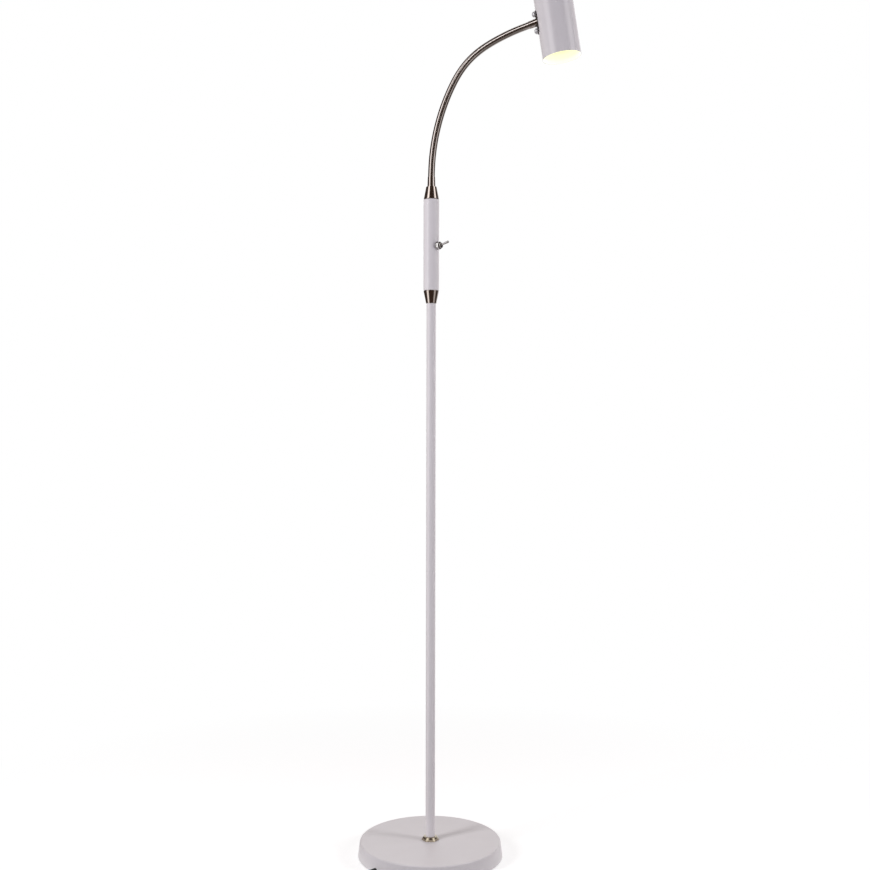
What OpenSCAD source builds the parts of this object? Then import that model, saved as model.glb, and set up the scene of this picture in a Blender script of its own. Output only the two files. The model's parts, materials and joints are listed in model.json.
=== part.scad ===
// Floor lamp with a flexible neck: a weighted round base, a pole in two lengths,
// a switch housing with a toggle, a wound gooseneck and a small cylindrical shade.
// Millimetres, +Z up, origin in the middle of the base's underside.
// The neck leans over towards +X, and the front of the lamp faces -Y.

/* [Base] */
// Diameter of the base cover at its foot
base_d = 230; // [190:1:300]
// How much narrower the cover's top is than its foot
base_taper = 6; // [0:0.5:16]
// Height of the base's top face above the floor
base_h = 24; // [23:0.5:40]
// Sheet thickness of the base cover
base_wall = 1.5; // [1:0.1:2.5]
// Radius of the cover's upper edge
base_edge_r = 2.5; // [1:0.1:5]
// Thickness of the soft pad under the base
pad_t = 2; // [1:0.1:3]
// Height of the cover's rim above the floor
rim_lift = 1; // [0.5:0.1:2]
// Thickness of the weight's web under the cover
web_t = 5.5; // [3:0.5:8]
// Width of the hex nut at the pole's foot, across its corners
foot_nut_d = 27.5; // [20:0.5:36]
// Width of the same nut at its chamfered top
foot_nut_top_d = 20.5; // [17:0.5:26]
// Height of the same nut
foot_nut_h = 5.5; // [5:0.5:15]

/* [Pole] */
// Outer diameter of the pole
pole_d = 15; // [14:0.5:24]
// Wall of the pole tubes
pole_wall = 1.2; // [0.8:0.1:1.6]
// Length of the lower pole
lower_pole_l = 423; // [200:0.5:700]
// Length of the upper pole
upper_pole_l = 427.5; // [200:0.5:700]
// Small chamfer on the pole's ends
pole_chamfer = 0.4; // [0.1:0.1:0.8]
// Length of the threaded inserts in the pole's ends
insert_l = 25; // [15:1:60]
// Length of the joining sleeve inside the seam
joiner_l = 60; // [30:1:150]
// Diameter of the threaded stud and nipples
thread_d = 10; // [9:0.5:10.5]
// Bore through the stud and nipples
thread_bore = 7; // [6.5:0.1:7.5]

/* [Switch housing] */
// Outer diameter of the switch housing
housing_d = 25; // [24:0.5:36]
// Wall of the switch housing
housing_wall = 1.2; // [0.8:0.1:1.8]
// Length of the switch housing
housing_l = 145; // [110:1:240]
// Height of each cone beside the housing
cone_h = 20.5; // [12:0.5:40]
// Diameter of the lower cone at the pole
lower_cone_d = 16.5; // [16:0.5:24]
// Diameter of the upper cone at the neck
upper_cone_d = 17; // [16:0.5:24]
// Radius of the housing's rounded ends
housing_edge_r = 0.8; // [0.2:0.1:1.2]
// Radius of each cone's rounded edge beside the housing
cone_edge_r = 1.2; // [0.4:0.1:3]
// Length of the spigot that holds a cone in the housing
spigot_l = 8; // [4:0.5:14]

/* [Switch] */
// Height of the switch above the housing's lower end
switch_rise = 70.5; // [45:0.5:85]
// Direction that the switch faces, from +X
switch_turn = -38; // [-180:1:180]
// Diameter of the switch's washer
switch_washer_d = 13; // [12:0.5:18]
// Thickness of the switch's washer
switch_washer_t = 1; // [0.6:0.1:2]
// Width of the switch's nut across its flats
switch_nut_w = 11; // [10:0.5:14]
// Thickness of the switch's nut
switch_nut_t = 4; // [2:0.5:6]
// Diameter of the switch's bushing
bushing_d = 8; // [7.6:0.1:9]
// How far the bushing stands out past the nut
bushing_out = 3; // [1:0.5:5]
// Length of the lever from its pivot to its tip
lever_l = 19; // [14:0.5:26]
// Diameter of the lever's rounded tip
lever_tip_d = 4.2; // [3:0.1:6]
// Diameter of the lever where it leaves the bushing
lever_root_d = 2.8; // [2:0.1:3]
// Angle of the lever above level, with the switch up
lever_tilt = 14; // [5:1:14]

/* [Neck] */
// Diameter of the flexible neck
neck_d = 11; // [10:0.5:12]
// Length of the flexible part
neck_flex_l = 308; // [200:1:500]
// Number of links that stand for the wound spiral
neck_links = 15; // [9:2:19]
// Even bend of the whole neck, in degrees
neck_sweep = 52; // [0:1:90]
// Extra bend of the neck's upper arch, in degrees
neck_hook = 18; // [0:1:40]
// Where the upper arch starts, along the neck
hook_start = 148; // [60:1:180]
// Length of the upper arch along the neck
hook_l = 102; // [60:1:140]
// Distance between the spiral's ribs
rib_pitch = 2; // [1.5:0.1:4]
// Depth of the groove between ribs
rib_depth = 0.4; // [0.1:0.05:0.8]
// Wire bore through the neck
neck_bore = 5; // [3:0.5:6]
// Diameter of the sleeves at the neck's ends, where they meet the cone and the saddle
sleeve_d = 13; // [12.5:0.1:16]
// Diameter of the same sleeves where the neck leaves them
sleeve_mouth_d = 11.8; // [11.6:0.1:12.4]
// Length of the lower sleeve
lower_sleeve_l = 16; // [14:0.5:40]
// Length of the upper sleeve
upper_sleeve_l = 15.9; // [14:0.1:40]

/* [Shade] */
// Outer diameter of the shade
shade_d = 62; // [58:1:90]
// Length of the shade
shade_l = 120; // [112:1:180]
// Wall of the shade
shade_wall = 1.2; // [0.8:0.1:2]
// Radius of the shade's closed end
shade_edge_r = 3; // [1.5:0.5:8]
// Lean of the shade, top towards the neck
shade_lean = 8.8; // [-20:0.1:40]
// Height of the neck's seat above the shade's mouth
attach_h = 60.7; // [58:0.1:66]
// Length of the saddle plate
saddle_l = 38; // [36:0.5:44]
// Width of the saddle plate
saddle_w = 14; // [14:0.5:24]
// Thickness of the saddle plate
saddle_t = 1.2; // [1:0.1:3]
// Distance between the saddle's two screws
saddle_pitch = 27; // [26:0.5:29]
// Diameter of the saddle screws' heads
saddle_head_d = 9; // [5.5:0.1:10]
// Height of the saddle screws' heads
saddle_head_h = 5; // [2:0.1:6]

/* [Lamp] */
// Diameter of the reflector lamp
lamp_d = 50; // [40:0.5:51]
// Length of the reflector lamp without its pins
lamp_l = 50; // [46:0.5:54]
// How far the lamp's front sits inside the shade's mouth
lamp_recess = 24; // [20:0.5:26]
// Distance between the lamp's contact pins
lamp_pin_pitch = 10; // [9:0.5:11]
// Width of the ceramic lamp holder
holder_w = 27; // [24:0.5:32]
// Depth of the ceramic lamp holder
holder_t = 17; // [16:0.5:20]
// Height of the ceramic lamp holder
holder_h = 18; // [14:0.5:22]
// Thickness of the holder's angle bracket
angle_t = 1.2; // [0.8:0.1:2]
// Width of the holder's angle bracket
angle_w = 14; // [10:0.5:16]

/* [Cord] */
// Diameter of the mains cord
cord_d = 6; // [5:0.1:6.2]
// Direction in which the cord leaves the base, from +X
cord_turn = 223; // [205:1:230]
// Length of the strain relief outside the base
relief_l = 22; // [20:0.5:24]
// Diameter of the strain relief at the base
relief_d = 7.6; // [7.2:0.1:9]
// Diameter of the strain relief at its tip
relief_tip_d = 6.8; // [6.6:0.1:7.2]
// Turns in the coil of spare cord
coil_turns = 7.35; // [5:0.05:8]
// Radius of the coil's inmost turn
coil_inner_r = 23.5; // [23:0.5:30]
// Distance between turns side by side, and between layers
coil_pitch = 6.6; // [6.5:0.1:8]
// Thickness of the tie round the coil
tie_t = 1; // [0.6:0.1:1.5]
// Width of the tie
tie_w = 9; // [5:0.5:14]
// Length of the plug's body
plug_l = 36; // [30:0.5:42]
// Width of the plug's body
plug_w = 26; // [24:0.5:32]
// Thickness of the plug's body
plug_t = 14; // [12:0.5:18]
// Diameter of the plug's pins
plug_pin_d = 4; // [3.5:0.1:5]
// Distance between the plug's pins
plug_pin_pitch = 19; // [16:0.5:19]
// Length of the plug's pins
plug_pin_l = 19; // [15:0.5:22]

/* [Hidden] */
$fn = 64;

// Colours
paint = [0.8, 0.77, 0.78];
plated_steel = [0.72, 0.7, 0.64];
zinc = [0.7, 0.7, 0.7];
dark_nickel = [0.42, 0.38, 0.36];
satin_nickel = [0.62, 0.58, 0.55];
chrome = [0.75, 0.75, 0.76];
brass = [0.78, 0.66, 0.36];
black = [0.08, 0.08, 0.08];

// Clearances: cutting overlap, thread and slip fits, seats, cavities, air between curved faces
cut = 1;
fit = 0.1;
seat = 0.05;
room = 0.5;
clear = 0.3;
thread_fit_d = thread_d + 2 * fit;

// Heights up the stand
foot_nut_z = base_h;
lower_pole_z = foot_nut_z + foot_nut_h;
seam_z = lower_pole_z + lower_pole_l;
lower_cone_z = seam_z + upper_pole_l;
housing_z = lower_cone_z + cone_h;
upper_cone_z = housing_z + housing_l;
lower_sleeve_z = upper_cone_z + cone_h;
neck_z = lower_sleeve_z + lower_sleeve_l;
switch_z = housing_z + switch_rise;

// Bores that pieces slide into
pole_bore = pole_d - 2 * pole_wall;
insert_d = pole_bore - 2 * fit;
joiner_bore = 9;
housing_bore = housing_d - 2 * housing_wall;
spigot_d = housing_bore - 2 * fit;

// Base: the stud's stack hangs below the weight's web
web_z = base_h - base_wall - clear - web_t;
base_washer_t = 1.5;
base_washer_d = 28;
lock_nut_w = 17;
lock_nut_t = 4.5;
stud_out = 0.5;
stud_z = web_z - base_washer_t - lock_nut_t - stud_out;
thread_short = 4;
stud_top = lower_pole_z + insert_l - thread_short;
weight_pocket_d = 46;
pad_margin = 5;
foot_nut_flare = 1;
least_edge_r = 0.4;
channel_w = 14;
channel_h = 10;

// Nipples through the cones, with a nut inside the housing
nipple_nut_w = 14;
nipple_nut_t = 4;
nipple_out = 1;
nipple_in_pole = insert_l - thread_short;
nipple_in_sleeve = 8;

// Toggle: distances along the switch's own axis, from the pole's axis
washer_at = housing_d / 2 + seat;
nut_at = washer_at + switch_washer_t;
bushing_end = nut_at + switch_nut_t + bushing_out;
lever_depth = 4;
lever_pivot = bushing_end - lever_depth;
switch_body_w = 9;
switch_body_h = 13;
switch_body_l = 12;
switch_body_front = sqrt(pow(housing_bore / 2, 2) - pow(switch_body_w / 2, 2)) - clear;
switch_body_back = switch_body_front - switch_body_l;
bushing_wall = 1.1;
bushing_bore = bushing_d - 2 * bushing_wall;
lever_ball_fit = 0.4;
lever_ball_d = bushing_bore - 2 * lever_ball_fit;
lever_pin_d = 1.2;
lever_pin_fit = 0.05;
terminal_l = 4;
terminal_w = 2.5;
terminal_t = 0.8;
terminal_pitch = 8;

// Neck joints: each link's rounded foot turns in the socket of the one below
ball_over = 1;
ball_r = neck_d / 2 + ball_over;
socket_r = ball_r + clear;
ball_rim = sqrt(pow(ball_r, 2) - pow(neck_d / 2, 2));
socket_rim = sqrt(pow(socket_r, 2) - pow(neck_d / 2, 2));
arc_steps = 6;
link_l = (neck_flex_l + ball_rim - socket_rim) / neck_links;
last_joint = neck_links + 1;

// Head: the sleeve meets the saddle, which fits round the shade
saddle_gap = 0.1;
saddle_r = shade_d / 2 + saddle_gap + saddle_t;
screw_d = 3;
screw_hole_d = screw_d + 2 * fit;
wire_hole_d = 7;
sleeve_reach = upper_sleeve_l - ball_rim;

// Lamp and holder, measured up from the shade's mouth
shade_bore_r = shade_d / 2 - shade_wall;
lamp_back = lamp_recess + lamp_l;
holder_z = lamp_back + clear;
angle_z = holder_z + holder_h + seat;
angle_x = sqrt(pow(shade_bore_r, 2) - pow(angle_w / 2, 2)) - fit;
angle_reach = 9;
angle_foot = 5;
screw_past = 3;
holder_screw_pitch = 11;
holder_screw_l = 9;
holder_head_d = 5.5;
holder_head_h = 2.2;
lamp_base_d = 24;
lamp_rim_h = 6;
lamp_bowl_h = 25;
lamp_bowl_step = 15;
lens_t = 2;
lens_inset = 2;
lamp_pin_l = 7;
lamp_pin_d = 3;
lamp_pin_head_d = 4.8;
lamp_pin_head_h = 2.5;

// Cord: where it leaves the base, and the coil's place on the floor
relief_lift = 0.8;
relief_z = relief_d / 2 + relief_lift;
relief_in = 6;
cord_out = [cos(cord_turn), sin(cord_turn), 0];
cord_side = [-sin(cord_turn), cos(cord_turn), 0];
cord_exit = cord_out * base_d / 2 + [0, 0, relief_z];
cord_start = cord_exit + cord_out * relief_l;
cord_sides = 10;
coil_sides = 6;
coil_loop_rings = 24;
coil_centre = [-100, -157];
coil_entry_turn = 150;
tie_gap = 0.4;
tie_lift = 0.2;
coil_lift = tie_lift + tie_t + tie_gap;

// Supply lead: distance out from the pole's axis, height above the floor
lead_route = [[90, 4.8], [60, 5], [30, 5], [14, 5], [8, 5.2], [4.2, 5.7], [1.6, 7.2], [0.4, 8.8],
              [0, 10.2], [0, 16]];
lead_d = cord_d - 1;
lead_sides = 8;

// Free cord on the floor between the strain relief and the coil
run_route = [[-110.2, -102, 4.2], [-117.5, -107.3, 3.6], [-124.9, -112.5, 3.6], [-131.6, -118.5, 4]];

// Free cord from the coil to the plug
tail_route = [[-76, -203.6, 9.8], [-62, -204.6, 6.6], [-48, -206, 4.2], [-34, -207, 3.4], [-18, -207, 4.4]];
plug_start = [0, -207];

function link_name(i) = str("neck_link_", i < 10 ? "0" : "", i);

// Smooth step from 0 to 1
function ease(t) = let (q = min(max(t, 0), 1)) q * q * (3 - 2 * q);

// Lean of the neck from upright at a distance along its flexible part
function neck_heading(s) =
    neck_sweep * min(s, neck_flex_l) / neck_flex_l + neck_hook * ease((s - hook_start) / hook_l);

// Lean of link i, counting the upper sleeve as the link after the last
function link_heading(i) =
    i > neck_links ? neck_heading(neck_flex_l) : neck_heading(socket_rim + link_l * (i - 0.5));

// Place of joint i, one link further along for each joint
function neck_joint(i) =
    i == 1 ? [0, 0, neck_z + socket_rim]
           : neck_joint(i - 1) + link_l * leaning(link_heading(i - 1));

function leaning(a) = [sin(a), 0, cos(a)];

// Points on an arc of a profile
function arc(x, y, r, from, to, steps) =
    [for (k = [0:steps])
        let (a = from + (to - from) * k / steps)
        [x + r * cos(a), y + r * sin(a)]];

function unit(v) = v / norm(v);

// Direction of a route at point i
function along(route, i) =
    unit(route[min(i + 1, len(route) - 1)] - route[max(i - 1, 0)]);

// The coil spirals in on the lower layer and out again on the upper one
function coil_r(t) = coil_inner_r + coil_pitch * abs(t - coil_turns / 2);
function coil_z(t) = cord_d / 2 + coil_lift + coil_pitch * ease((t - coil_turns / 2) * 2 + 0.5);
function coil_point(t) =
    let (a = coil_entry_turn + 360 * t)
    [coil_centre[0] + coil_r(t) * cos(a), coil_centre[1] + coil_r(t) * sin(a), coil_z(t)];
coil_rings = ceil(coil_turns * coil_loop_rings);
coil_loops = [for (k = [0:coil_rings]) coil_point(coil_turns * k / coil_rings)];
coil_in = unit(coil_loops[1] - coil_loops[0]);
coil_out = unit(coil_loops[coil_rings] - coil_loops[coil_rings - 1]);
coil_first = coil_loops[0] - cord_d * coil_in;
coil_last = coil_loops[coil_rings] + cord_d * coil_out;
coil_route = concat([coil_first], coil_loops, [coil_last]);
coil_outer_r = coil_r(0);
tie_turn = 40;

// Least clear distance between turns of the coil that lie side by side or crossed
coil_apart = coil_loop_rings / 2;
coil_self_gap = min([for (i = [0:coil_rings - coil_apart])
    for (j = [i + coil_apart:coil_rings]) norm(coil_loops[i] - coil_loops[j])]) - cord_d;
echo(coil_self_gap = coil_self_gap);

function route_length(route) =
    len(route) < 2 ? 0
        : norm(route[1] - route[0]) + route_length([for (k = [1:len(route) - 1]) route[k]]);

// The free cord's routes, joined to what they meet
plug_axis_z = plug_t / 2;
plug_nose_l = 14;
plug_nose_d = 9;
plug_nose_tip_d = cord_d + 1;
plug_back_w = 14;
plug_flare_l = 20;
plug_slope = 2.5;
plug_slope_l = 11;
plug_pin_tip_d = 2;
plug_pin_tip_l = 2;
cord_square = 3;
plug_end = [plug_start[0], plug_start[1], plug_axis_z];
cord_run_route = concat(
    [cord_start, cord_start + cord_out * cord_square], run_route,
    [coil_first - coil_in * cord_square, coil_first]);
cord_tail_route = concat(
    [coil_last, coil_last + coil_out * cord_square], tail_route,
    [plug_end - [cord_d, 0, 0], plug_end]);
lead_points = concat(
    [cord_exit - cord_out * relief_in, cord_exit - cord_out * (relief_in + cord_square)],
    [for (p = lead_route) cord_out * p[0] + [0, 0, p[1]]],
    [[0, 0, switch_z - switch_body_h / 2 - clear]]);
cord_length = route_length(cord_run_route) + route_length(coil_route) + route_length(cord_tail_route);
echo(cord_length = cord_length);

// A round tube swept along a route; up is never along the route
module swept(route, d, sides, up) {
    rings = len(route);
    points = [for (i = [0:rings - 1])
        let (t = along(route, i), u = unit(cross(up, t)), v = cross(t, u))
        for (k = [0:sides - 1])
            let (a = 360 * k / sides)
            route[i] + d / 2 * (cos(a) * u + sin(a) * v)];
    walls = [for (i = [0:rings - 2]) for (k = [0:sides - 1])
        let (a = i * sides + k, b = i * sides + (k + 1) % sides)
        each [[a, a + sides, b], [b, a + sides, b + sides]]];
    first_end = [for (k = [1:sides - 2]) [0, k, k + 1]];
    end = (rings - 1) * sides;
    last_end = [for (k = [1:sides - 2]) [end, end + k + 1, end + k]];
    polyhedron(points, concat(walls, first_end, last_end));
}

// A tube or ring standing on z = 0
module ring(d, bore, h) {
    difference() {
        cylinder(d = d, h = h);
        translate([0, 0, -cut]) cylinder(d = bore, h = h + 2 * cut);
    }
}

// A hex nut standing on z = 0, its width across the flats
module hex_nut(w, bore, h) {
    difference() {
        cylinder(d = w / cos(30), h = h, $fn = 6);
        translate([0, 0, -cut]) cylinder(d = bore, h = h + 2 * cut);
    }
}

// Children are drawn with +Z along the switch's axis and +X upright
module on_switch() {
    translate([0, 0, switch_z]) rotate([0, 0, switch_turn]) rotate([0, 90, 0])
        rotate([0, 0, 180]) children();
}

// Children are drawn with +Z along neck link i, from its joint
module on_link(i) {
    translate(neck_joint(i)) rotate([0, link_heading(i), 0]) children();
}

// Children are drawn in the shade's frame: mouth on z = 0, neck at -X
module on_shade() {
    lean = [0, -shade_lean, 0];
    neck_end = neck_joint(last_joint) + sleeve_reach * leaning(link_heading(last_joint));
    back = [saddle_r * cos(shade_lean) + attach_h * sin(shade_lean), 0,
            saddle_r * sin(shade_lean) - attach_h * cos(shade_lean)];
    translate(neck_end + back) rotate(lean) children();
}

// Children are drawn with +Z along the cord where it leaves the base
module on_cord_exit() {
    translate(cord_exit) rotate([0, 0, cord_turn]) rotate([0, 90, 0]) children();
}

// Radius of the base's tapered side at a height, drawn in by a sheet's thickness
function base_side(z, inset) = base_d / 2 - inset - base_taper / 2 * z / base_h;

// Half section of the base's outer form, its upper edge rounded onto the tapered side
module base_section(inset, foot) {
    lean = atan(base_taper / 2 / base_h);
    r = max(base_edge_r - inset, least_edge_r);
    z = base_h - inset - r;
    polygon(concat(
        [[0, foot], [base_side(foot, inset), foot]],
        arc(base_side(z, inset) - r / cos(lean), z, r, lean, 90, arc_steps),
        [[0, base_h - inset]]));
}

module base_cover() {
    color(paint)
    difference() {
        rotate_extrude($fn = 128) difference() {
            base_section(0, rim_lift);
            base_section(base_wall, rim_lift - cut);
        }
        cylinder(d = thread_fit_d, h = base_h + cut);
        on_cord_exit() translate([0, 0, -2 * relief_in])
            cylinder(d = relief_d + 2 * fit, h = 3 * relief_in);
    }
}

module base_weight() {
    color([0.55, 0.54, 0.52])
    difference() {
        rotate_extrude($fn = 128) base_section(base_wall + clear, pad_t + seat);
        cylinder(d = thread_fit_d, h = base_h);
        cylinder(d = weight_pocket_d, h = web_z);
        rotate([0, 0, cord_turn]) translate([0, -channel_w / 2, 0])
            cube([base_d, channel_w, channel_h]);
    }
}

module base_pad() {
    color([0.12, 0.12, 0.12])
    cylinder(d = base_d - 2 * (base_wall + pad_margin), h = pad_t, $fn = 128);
}

module base_stud() {
    color(plated_steel)
    translate([0, 0, stud_z]) ring(thread_d, thread_bore, stud_top - stud_z);
}

module base_washer() {
    color(zinc)
    translate([0, 0, web_z - base_washer_t]) ring(base_washer_d, thread_fit_d, base_washer_t);
}

module base_lock_nut() {
    color(plated_steel)
    translate([0, 0, web_z - base_washer_t - lock_nut_t])
        hex_nut(lock_nut_w, thread_fit_d, lock_nut_t);
}

module pole_base_nut() {
    color(satin_nickel)
    translate([0, 0, foot_nut_z]) difference() {
        intersection() {
            cylinder(d = foot_nut_d, h = foot_nut_h, $fn = 6);
            cylinder(d1 = foot_nut_d + foot_nut_flare, d2 = foot_nut_top_d, h = foot_nut_h);
        }
        translate([0, 0, -cut]) cylinder(d = thread_fit_d, h = foot_nut_h + 2 * cut);
    }
}

module strain_relief() {
    color(black)
    on_cord_exit() {
        translate([0, 0, -relief_in]) cylinder(d = relief_d, h = relief_in);
        cylinder(d1 = relief_d, d2 = relief_tip_d, h = relief_l);
    }
}

// A pole tube with softened ends, standing on z = 0
module pole_tube(l) {
    r = pole_d / 2;
    rotate_extrude() polygon([
        [pole_bore / 2, 0], [r - pole_chamfer, 0], [r, pole_chamfer],
        [r, l - pole_chamfer], [r - pole_chamfer, l], [pole_bore / 2, l]]);
}

module lower_pole() {
    color(paint) translate([0, 0, lower_pole_z]) pole_tube(lower_pole_l);
}

module upper_pole() {
    color(paint) translate([0, 0, seam_z]) pole_tube(upper_pole_l);
}

module pole_foot_insert() {
    color(plated_steel)
    translate([0, 0, lower_pole_z]) ring(insert_d, thread_fit_d, insert_l);
}

module pole_joiner() {
    color(plated_steel)
    translate([0, 0, seam_z - joiner_l / 2]) ring(insert_d, joiner_bore, joiner_l);
}

module pole_top_insert() {
    color(plated_steel)
    translate([0, 0, lower_cone_z - insert_l]) ring(insert_d, thread_fit_d, insert_l);
}

// A turned cone with the spigot that centres it in the housing, spigot up
module housing_cone(small_d) {
    lean = atan((housing_d - small_d) / 2 / cone_h);
    z = cone_h - cone_edge_r;
    side = small_d / 2 + z * tan(lean);
    difference() {
        union() {
            rotate_extrude() polygon(concat(
                [[0, 0], [small_d / 2, 0]],
                arc(side - cone_edge_r / cos(lean), z, cone_edge_r, -lean, 90, arc_steps),
                [[0, cone_h]]));
            translate([0, 0, cone_h]) cylinder(d = spigot_d, h = spigot_l);
        }
        translate([0, 0, -cut]) cylinder(d = thread_fit_d, h = cone_h + spigot_l + 2 * cut);
    }
}

module lower_cone() {
    color(dark_nickel) translate([0, 0, lower_cone_z]) housing_cone(lower_cone_d);
}

module upper_cone() {
    color(dark_nickel)
    translate([0, 0, lower_sleeve_z]) rotate([180, 0, 0]) housing_cone(upper_cone_d);
}

module lower_nipple() {
    color(plated_steel)
    translate([0, 0, lower_cone_z - nipple_in_pole])
        ring(thread_d, thread_bore, nipple_in_pole + cone_h + spigot_l + nipple_nut_t + nipple_out);
}

module upper_nipple() {
    below = spigot_l + nipple_nut_t + nipple_out;
    color(plated_steel)
    translate([0, 0, upper_cone_z - below])
        ring(thread_d, thread_bore, below + cone_h + nipple_in_sleeve);
}

module nipple_nuts() {
    color(plated_steel) {
        translate([0, 0, housing_z + spigot_l])
            hex_nut(nipple_nut_w, thread_fit_d, nipple_nut_t);
        translate([0, 0, upper_cone_z - spigot_l - nipple_nut_t])
            hex_nut(nipple_nut_w, thread_fit_d, nipple_nut_t);
    }
}

module switch_housing() {
    r = housing_d / 2;
    edge = min(housing_edge_r, housing_wall - fit);
    color(paint)
    difference() {
        translate([0, 0, housing_z]) rotate_extrude() polygon(concat(
            [[housing_bore / 2, 0]],
            arc(r - edge, edge, edge, -90, 0, arc_steps),
            arc(r - edge, housing_l - edge, edge, 0, 90, arc_steps),
            [[housing_bore / 2, housing_l]]));
        on_switch() cylinder(d = bushing_d + 2 * fit, h = housing_d);
    }
}

module switch_body() {
    color([0.15, 0.15, 0.16])
    on_switch() translate([-switch_body_h / 2, -switch_body_w / 2, switch_body_back])
        cube([switch_body_h, switch_body_w, switch_body_l]);
}

module switch_bushing() {
    color(chrome)
    on_switch() difference() {
        translate([0, 0, switch_body_front])
            ring(bushing_d, bushing_bore, bushing_end - switch_body_front);
        translate([0, 0, lever_pivot]) rotate([90, 0, 0])
            cylinder(d = lever_pin_d, h = bushing_d + cut, center = true);
    }
}

module switch_pin() {
    color(chrome)
    on_switch() translate([0, 0, lever_pivot]) rotate([90, 0, 0])
        cylinder(d = lever_pin_d - 2 * lever_pin_fit, h = bushing_d - 2 * fit, center = true);
}

module switch_washer() {
    color(chrome)
    on_switch() translate([0, 0, washer_at])
        ring(switch_washer_d, bushing_d + 2 * fit, switch_washer_t);
}

module switch_nut() {
    color(chrome)
    on_switch() translate([0, 0, nut_at])
        hex_nut(switch_nut_w, bushing_d + 2 * fit, switch_nut_t);
}

module switch_terminals() {
    color(brass)
    on_switch() for (side = [-1, 1])
        translate([side * terminal_pitch / 2 - terminal_t / 2, -terminal_w / 2,
                   switch_body_back - terminal_l])
            cube([terminal_t, terminal_w, terminal_l]);
}

module switch_lever() {
    neck = lever_l - lever_tip_d / 2;
    color(chrome)
    on_switch() translate([0, 0, lever_pivot]) rotate([0, lever_tilt, 0]) difference() {
        union() {
            sphere(d = lever_ball_d);
            cylinder(d1 = lever_root_d, d2 = lever_tip_d, h = neck);
            translate([0, 0, neck]) sphere(d = lever_tip_d);
        }
        rotate([90, 0, 0]) cylinder(d = lever_pin_d, h = bushing_d, center = true);
    }
}

module supply_lead() {
    color(black) swept(lead_points, lead_d, lead_sides, cord_side);
}

module neck_lower_sleeve() {
    mouth = lower_sleeve_l;
    joint = mouth + socket_rim;
    color(satin_nickel)
    translate([0, 0, lower_sleeve_z]) difference() {
        cylinder(d1 = sleeve_d, d2 = sleeve_mouth_d, h = mouth);
        translate([0, 0, -cut]) cylinder(d = thread_fit_d, h = nipple_in_sleeve + fit + cut);
        cylinder(d = neck_bore, h = joint);
        translate([0, 0, joint]) sphere(r = socket_r);
    }
}

// One ribbed length of the neck, from its rounded foot to the next link's socket
module neck_link(i) {
    r = neck_d / 2;
    top = link_l - socket_rim;
    ribs = max(round((top + ball_rim) / rib_pitch), 1);
    pitch = (top + ball_rim) / ribs;
    bore_r = neck_bore / 2;
    side = [for (k = [0:ribs - 1]) each [
        [r, -ball_rim + k * pitch], [r - rib_depth, -ball_rim + (k + 0.5) * pitch]]];
    color(satin_nickel)
    on_link(i) rotate_extrude() polygon(concat(
        arc(0, 0, ball_r, -acos(bore_r / ball_r), -acos(r / ball_r), arc_steps),
        [for (k = [1:len(side) - 1]) side[k]],
        arc(0, link_l, socket_r, -acos(r / socket_r), -acos(bore_r / socket_r), arc_steps)));
}

module neck_upper_sleeve() {
    r = neck_d / 2;
    bore_r = neck_bore / 2;
    long = sleeve_reach + sleeve_d;
    color(satin_nickel)
    difference() {
        on_link(last_joint) rotate_extrude() polygon(concat(
            arc(0, 0, ball_r, -acos(bore_r / ball_r), -acos(r / ball_r), arc_steps),
            [[r, 0], [sleeve_mouth_d / 2, 0], [sleeve_d / 2, sleeve_reach], [sleeve_d / 2, long],
             [bore_r, long]]));
        on_shade() cylinder(r = saddle_r + seat, h = shade_l);
    }
}

// Holes through the saddle and the shade's wall, along the shade's -X
module saddle_holes() {
    for (side = [-1, 0, 1])
        translate([0, 0, attach_h + side * saddle_pitch / 2]) rotate([0, -90, 0])
            cylinder(d = side == 0 ? wire_hole_d : screw_hole_d, h = shade_d);
}

module head_saddle() {
    straight = saddle_l - saddle_w;
    color([0.3, 0.28, 0.28])
    on_shade() difference() {
        intersection() {
            ring(2 * saddle_r, shade_d + 2 * saddle_gap, shade_l);
            translate([0, 0, attach_h]) rotate([0, -90, 0]) linear_extrude(shade_d) {
                square([straight, saddle_w], center = true);
                for (side = [-1, 1]) translate([side * straight / 2, 0]) circle(d = saddle_w);
            }
        }
        saddle_holes();
    }
}

module saddle_screws() {
    reach = saddle_r - angle_x + angle_t + screw_past;
    dome_r = (pow(saddle_head_d / 2, 2) + pow(saddle_head_h / 2, 2)) / saddle_head_h;
    color(chrome)
    on_shade() for (side = [-1, 1])
        translate([-saddle_r - seat, 0, attach_h + side * saddle_pitch / 2]) rotate([0, -90, 0]) {
            translate([0, 0, -reach]) cylinder(d = screw_d, h = reach);
            cylinder(d = saddle_head_d, h = saddle_head_h / 2);
            intersection() {
                translate([0, 0, saddle_head_h - dome_r]) sphere(r = dome_r);
                translate([0, 0, saddle_head_h / 2]) cylinder(d = saddle_head_d, h = saddle_head_h);
            }
        }
}

// Half section of the shade's form, drawn in by its wall
module shade_section(inset, foot) {
    r = shade_d / 2 - inset;
    edge = max(shade_edge_r - inset, least_edge_r);
    top = shade_l - inset;
    polygon(concat([[0, foot], [r, foot]], arc(r - edge, top - edge, edge, 0, 90, arc_steps),
        [[0, top]]));
}

module shade() {
    color(paint)
    on_shade() difference() {
        rotate_extrude($fn = 96) difference() {
            shade_section(0, 0);
            shade_section(shade_wall, -cut);
        }
        saddle_holes();
    }
}

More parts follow.
